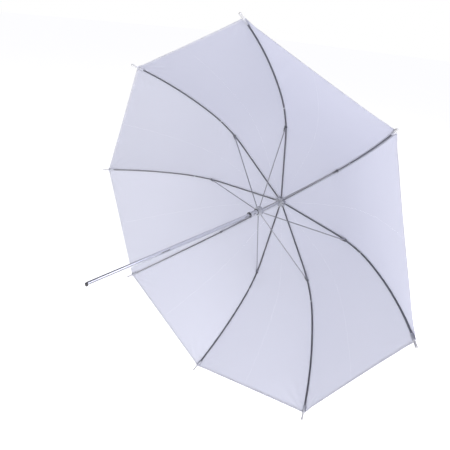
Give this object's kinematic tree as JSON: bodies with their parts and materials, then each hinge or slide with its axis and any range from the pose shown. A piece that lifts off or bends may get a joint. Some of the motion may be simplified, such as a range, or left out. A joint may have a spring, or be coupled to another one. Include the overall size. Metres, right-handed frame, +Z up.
{
  "type": "umbrella reflector",
  "caption": "Shoot-through studio umbrella: translucent white canopy on folding fluted ribs with stretchers, a sliding runner with spring catches, and a plain round shaft for a bracket.",
  "frame": {"origin": "on the shaft's axis, in the middle of the plain stretch that a bracket holds", "axes": "+Y along the level shaft from the free end to the hub, so the open side faces -Y; +Z up through the first rib; +X to the right seen from the free end"},
  "size_m": [0.8592, 0.6071, 0.8592],
  "materials": {
    "shaft_steel": "bright nickel plate on steel tube, faint drawing lines",
    "rib_steel": "dark grey coated fluted steel, satin",
    "strut_steel": "grey steel wire, satin",
    "rivet_steel": "dull steel",
    "spring_steel": "bright spring steel",
    "dark_plastic": "moulded, slightly worn",
    "runner_plastic": "grey moulded plastic, satin gloss",
    "white_plastic": "white moulded plastic, satin gloss",
    "white_fabric": "thin translucent white nylon, fine plain weave"
  },
  "bodies": {
    "shaft": {"shaft_tube": "shaft_steel", "shaft_end_cap": "dark_plastic", "top_notch": "runner_plastic", "notch_wire": "spring_steel", "crown_patch": "white_fabric", "crown_washer": "white_plastic", "ferrule_cap": "white_plastic"},
    "runner": {"runner_sleeve": "runner_plastic", "runner_wire": "spring_steel"},
    "open_catch": {"open_catch": "spring_steel"},
    "closed_catch": {"closed_catch": "spring_steel"},
    "rib_1": {"rib_1": "rib_steel", "rib_tip_1": "white_plastic", "joint_rivet_1": "rivet_steel"},
    "stretcher_1": {"stretcher_1": "strut_steel"},
    "canopy_left_1": {"canopy_left_1": "white_fabric"},
    "canopy_right_1": {"canopy_right_1": "white_fabric"},
    "rib_2": {"rib_2": "rib_steel", "rib_tip_2": "white_plastic", "joint_rivet_2": "rivet_steel"},
    "stretcher_2": {"stretcher_2": "strut_steel"},
    "canopy_left_2": {"canopy_left_2": "white_fabric"},
    "canopy_right_2": {"canopy_right_2": "white_fabric"},
    "rib_3": {"rib_3": "rib_steel", "rib_tip_3": "white_plastic", "joint_rivet_3": "rivet_steel"},
    "stretcher_3": {"stretcher_3": "strut_steel"},
    "canopy_left_3": {"canopy_left_3": "white_fabric"},
    "canopy_right_3": {"canopy_right_3": "white_fabric"},
    "rib_4": {"rib_4": "rib_steel", "rib_tip_4": "white_plastic", "joint_rivet_4": "rivet_steel"},
    "stretcher_4": {"stretcher_4": "strut_steel"},
    "canopy_left_4": {"canopy_left_4": "white_fabric"},
    "canopy_right_4": {"canopy_right_4": "white_fabric"},
    "rib_5": {"rib_5": "rib_steel", "rib_tip_5": "white_plastic", "joint_rivet_5": "rivet_steel"},
    "stretcher_5": {"stretcher_5": "strut_steel"},
    "canopy_left_5": {"canopy_left_5": "white_fabric"},
    "canopy_right_5": {"canopy_right_5": "white_fabric"},
    "rib_6": {"rib_6": "rib_steel", "rib_tip_6": "white_plastic", "joint_rivet_6": "rivet_steel"},
    "stretcher_6": {"stretcher_6": "strut_steel"},
    "canopy_left_6": {"canopy_left_6": "white_fabric"},
    "canopy_right_6": {"canopy_right_6": "white_fabric"},
    "rib_7": {"rib_7": "rib_steel", "rib_tip_7": "white_plastic", "joint_rivet_7": "rivet_steel"},
    "stretcher_7": {"stretcher_7": "strut_steel"},
    "canopy_left_7": {"canopy_left_7": "white_fabric"},
    "canopy_right_7": {"canopy_right_7": "white_fabric"},
    "rib_8": {"rib_8": "rib_steel", "rib_tip_8": "white_plastic", "joint_rivet_8": "rivet_steel"},
    "stretcher_8": {"stretcher_8": "strut_steel"},
    "canopy_left_8": {"canopy_left_8": "white_fabric"},
    "canopy_right_8": {"canopy_right_8": "white_fabric"}
  },
  "joints": [
    {"name": "rib_1_fold", "type": "hinge", "parent": "shaft", "child": "rib_1", "pos_m": [0, 0.50295, 0.008], "axis": [1, 0, 0], "range_deg": [0, 56], "deforming": ["canopy_left_1", "canopy_left_2", "canopy_left_3", "canopy_left_4", "canopy_left_5", "canopy_left_6", "canopy_left_7", "canopy_left_8", "canopy_right_1", "canopy_right_2", "canopy_right_3", "canopy_right_4", "canopy_right_5", "canopy_right_6", "canopy_right_7", "canopy_right_8", "open_catch", "closed_catch"]},
    {"name": "stretcher_1_turn", "type": "hinge", "parent": "rib_1", "child": "stretcher_1", "pos_m": [0, 0.45457, 0.20708], "axis": [-1, 0, 0], "range_deg": [0, 112]},
    {"name": "canopy_left_1_pleat", "type": "hinge", "parent": "rib_1", "child": "canopy_left_1", "pos_m": [-0.00331, 0.50295, 0.008], "axis": [-0.8629, 0.2373, 0.4462], "range_deg": [0, 26.65]},
    {"name": "canopy_right_1_pleat", "type": "hinge", "parent": "rib_1", "child": "canopy_right_1", "pos_m": [0.00331, 0.50295, 0.008], "axis": [-0.8629, -0.2373, -0.4462], "range_deg": [0, 26.65]},
    {"name": "rib_2_fold", "type": "hinge", "parent": "shaft", "child": "rib_2", "pos_m": [0.00566, 0.50295, 0.00566], "axis": [0.7071, 0, -0.7071], "range_deg": [0, 56]},
    {"name": "stretcher_2_turn", "type": "hinge", "parent": "rib_2", "child": "stretcher_2", "pos_m": [0.14643, 0.45457, 0.14643], "axis": [-0.7071, 0, 0.7071], "range_deg": [0, 112]},
    {"name": "canopy_left_2_pleat", "type": "hinge", "parent": "rib_2", "child": "canopy_left_2", "pos_m": [0.00331, 0.50295, 0.008], "axis": [-0.2946, 0.2373, 0.9257], "range_deg": [0, 26.65]},
    {"name": "canopy_right_2_pleat", "type": "hinge", "parent": "rib_2", "child": "canopy_right_2", "pos_m": [0.008, 0.50295, 0.00331], "axis": [-0.9257, -0.2373, 0.2946], "range_deg": [0, 26.65]},
    {"name": "rib_3_fold", "type": "hinge", "parent": "shaft", "child": "rib_3", "pos_m": [0.008, 0.50295, 0], "axis": [0, 0, -1], "range_deg": [0, 56]},
    {"name": "stretcher_3_turn", "type": "hinge", "parent": "rib_3", "child": "stretcher_3", "pos_m": [0.20708, 0.45457, 0], "axis": [0, 0, 1], "range_deg": [0, 112]},
    {"name": "canopy_left_3_pleat", "type": "hinge", "parent": "rib_3", "child": "canopy_left_3", "pos_m": [0.008, 0.50295, 0.00331], "axis": [0.4462, 0.2373, 0.8629], "range_deg": [0, 26.65]},
    {"name": "canopy_right_3_pleat", "type": "hinge", "parent": "rib_3", "child": "canopy_right_3", "pos_m": [0.008, 0.50295, -0.00331], "axis": [-0.4462, -0.2373, 0.8629], "range_deg": [0, 26.65]},
    {"name": "rib_4_fold", "type": "hinge", "parent": "shaft", "child": "rib_4", "pos_m": [0.00566, 0.50295, -0.00566], "axis": [-0.7071, 0, -0.7071], "range_deg": [0, 56]},
    {"name": "stretcher_4_turn", "type": "hinge", "parent": "rib_4", "child": "stretcher_4", "pos_m": [0.14643, 0.45457, -0.14643], "axis": [0.7071, 0, 0.7071], "range_deg": [0, 112]},
    {"name": "canopy_left_4_pleat", "type": "hinge", "parent": "rib_4", "child": "canopy_left_4", "pos_m": [0.008, 0.50295, -0.00331], "axis": [0.9257, 0.2373, 0.2946], "range_deg": [0, 26.65]},
    {"name": "canopy_right_4_pleat", "type": "hinge", "parent": "rib_4", "child": "canopy_right_4", "pos_m": [0.00331, 0.50295, -0.008], "axis": [0.2946, -0.2373, 0.9257], "range_deg": [0, 26.65]},
    {"name": "rib_5_fold", "type": "hinge", "parent": "shaft", "child": "rib_5", "pos_m": [0, 0.50295, -0.008], "axis": [-1, 0, 0], "range_deg": [0, 56]},
    {"name": "stretcher_5_turn", "type": "hinge", "parent": "rib_5", "child": "stretcher_5", "pos_m": [0, 0.45457, -0.20708], "axis": [1, 0, 0], "range_deg": [0, 112]},
    {"name": "canopy_left_5_pleat", "type": "hinge", "parent": "rib_5", "child": "canopy_left_5", "pos_m": [0.00331, 0.50295, -0.008], "axis": [0.8629, 0.2373, -0.4462], "range_deg": [0, 26.65]},
    {"name": "canopy_right_5_pleat", "type": "hinge", "parent": "rib_5", "child": "canopy_right_5", "pos_m": [-0.00331, 0.50295, -0.008], "axis": [0.8629, -0.2373, 0.4462], "range_deg": [0, 26.65]},
    {"name": "rib_6_fold", "type": "hinge", "parent": "shaft", "child": "rib_6", "pos_m": [-0.00566, 0.50295, -0.00566], "axis": [-0.7071, 0, 0.7071], "range_deg": [0, 56]},
    {"name": "stretcher_6_turn", "type": "hinge", "parent": "rib_6", "child": "stretcher_6", "pos_m": [-0.14643, 0.45457, -0.14643], "axis": [0.7071, 0, -0.7071], "range_deg": [0, 112]},
    {"name": "canopy_left_6_pleat", "type": "hinge", "parent": "rib_6", "child": "canopy_left_6", "pos_m": [-0.00331, 0.50295, -0.008], "axis": [0.2946, 0.2373, -0.9257], "range_deg": [0, 26.65]},
    {"name": "canopy_right_6_pleat", "type": "hinge", "parent": "rib_6", "child": "canopy_right_6", "pos_m": [-0.008, 0.50295, -0.00331], "axis": [0.9257, -0.2373, -0.2946], "range_deg": [0, 26.65]},
    {"name": "rib_7_fold", "type": "hinge", "parent": "shaft", "child": "rib_7", "pos_m": [-0.008, 0.50295, 0], "axis": [0, 0, 1], "range_deg": [0, 56]},
    {"name": "stretcher_7_turn", "type": "hinge", "parent": "rib_7", "child": "stretcher_7", "pos_m": [-0.20708, 0.45457, 0], "axis": [0, 0, -1], "range_deg": [0, 112]},
    {"name": "canopy_left_7_pleat", "type": "hinge", "parent": "rib_7", "child": "canopy_left_7", "pos_m": [-0.008, 0.50295, -0.00331], "axis": [-0.4462, 0.2373, -0.8629], "range_deg": [0, 26.65]},
    {"name": "canopy_right_7_pleat", "type": "hinge", "parent": "rib_7", "child": "canopy_right_7", "pos_m": [-0.008, 0.50295, 0.00331], "axis": [0.4462, -0.2373, -0.8629], "range_deg": [0, 26.65]},
    {"name": "rib_8_fold", "type": "hinge", "parent": "shaft", "child": "rib_8", "pos_m": [-0.00566, 0.50295, 0.00566], "axis": [0.7071, 0, 0.7071], "range_deg": [0, 56]},
    {"name": "stretcher_8_turn", "type": "hinge", "parent": "rib_8", "child": "stretcher_8", "pos_m": [-0.14643, 0.45457, 0.14643], "axis": [-0.7071, 0, -0.7071], "range_deg": [0, 112]},
    {"name": "canopy_left_8_pleat", "type": "hinge", "parent": "rib_8", "child": "canopy_left_8", "pos_m": [-0.008, 0.50295, 0.00331], "axis": [-0.9257, 0.2373, -0.2946], "range_deg": [0, 26.65]},
    {"name": "canopy_right_8_pleat", "type": "hinge", "parent": "rib_8", "child": "canopy_right_8", "pos_m": [-0.00331, 0.50295, 0.008], "axis": [-0.2946, -0.2373, -0.9257], "range_deg": [0, 26.65]},
    {"name": "runner_slide", "type": "hinge", "parent": "stretcher_1", "child": "runner", "pos_m": [0, 0.40619, 0.008], "axis": [1, 0, 0], "range_deg": [0, 56]},
    {"name": "open_catch_press", "type": "hinge", "parent": "shaft", "child": "open_catch", "pos_m": [0, 0.33359, 0], "axis": [-0.3827, 0, 0.9239], "range_deg": [0, 4.3], "stiffness_Nm_per_rad": 0.3},
    {"name": "closed_catch_press", "type": "hinge", "parent": "shaft", "child": "closed_catch", "pos_m": [0, 0.12435, 0], "axis": [0.3827, 0, -0.9239], "range_deg": [0, 4.3], "stiffness_Nm_per_rad": 0.3}
  ],
  "couplings": [
    {"joint": "canopy_left_1_pleat", "follows": "rib_1_fold", "ratio": 0.47592},
    {"joint": "canopy_right_1_pleat", "follows": "rib_1_fold", "ratio": 0.47592},
    {"joint": "stretcher_1_turn", "follows": "rib_1_fold", "ratio": 2},
    {"joint": "canopy_left_2_pleat", "follows": "rib_1_fold", "ratio": 0.47592},
    {"joint": "canopy_right_2_pleat", "follows": "rib_1_fold", "ratio": 0.47592},
    {"joint": "stretcher_2_turn", "follows": "rib_1_fold", "ratio": 2},
    {"joint": "rib_2_fold", "follows": "rib_1_fold", "ratio": 1},
    {"joint": "canopy_left_3_pleat", "follows": "rib_1_fold", "ratio": 0.47592},
    {"joint": "canopy_right_3_pleat", "follows": "rib_1_fold", "ratio": 0.47592},
    {"joint": "stretcher_3_turn", "follows": "rib_1_fold", "ratio": 2},
    {"joint": "rib_3_fold", "follows": "rib_1_fold", "ratio": 1},
    {"joint": "canopy_left_4_pleat", "follows": "rib_1_fold", "ratio": 0.47592},
    {"joint": "canopy_right_4_pleat", "follows": "rib_1_fold", "ratio": 0.47592},
    {"joint": "stretcher_4_turn", "follows": "rib_1_fold", "ratio": 2},
    {"joint": "rib_4_fold", "follows": "rib_1_fold", "ratio": 1},
    {"joint": "canopy_left_5_pleat", "follows": "rib_1_fold", "ratio": 0.47592},
    {"joint": "canopy_right_5_pleat", "follows": "rib_1_fold", "ratio": 0.47592},
    {"joint": "stretcher_5_turn", "follows": "rib_1_fold", "ratio": 2},
    {"joint": "rib_5_fold", "follows": "rib_1_fold", "ratio": 1},
    {"joint": "canopy_left_6_pleat", "follows": "rib_1_fold", "ratio": 0.47592},
    {"joint": "canopy_right_6_pleat", "follows": "rib_1_fold", "ratio": 0.47592},
    {"joint": "stretcher_6_turn", "follows": "rib_1_fold", "ratio": 2},
    {"joint": "rib_6_fold", "follows": "rib_1_fold", "ratio": 1},
    {"joint": "canopy_left_7_pleat", "follows": "rib_1_fold", "ratio": 0.47592},
    {"joint": "canopy_right_7_pleat", "follows": "rib_1_fold", "ratio": 0.47592},
    {"joint": "stretcher_7_turn", "follows": "rib_1_fold", "ratio": 2},
    {"joint": "rib_7_fold", "follows": "rib_1_fold", "ratio": 1},
    {"joint": "canopy_left_8_pleat", "follows": "rib_1_fold", "ratio": 0.47592},
    {"joint": "canopy_right_8_pleat", "follows": "rib_1_fold", "ratio": 0.47592},
    {"joint": "stretcher_8_turn", "follows": "rib_1_fold", "ratio": 2},
    {"joint": "rib_8_fold", "follows": "rib_1_fold", "ratio": 1},
    {"joint": "runner_slide", "follows": "rib_1_fold", "ratio": 1}
  ]
}
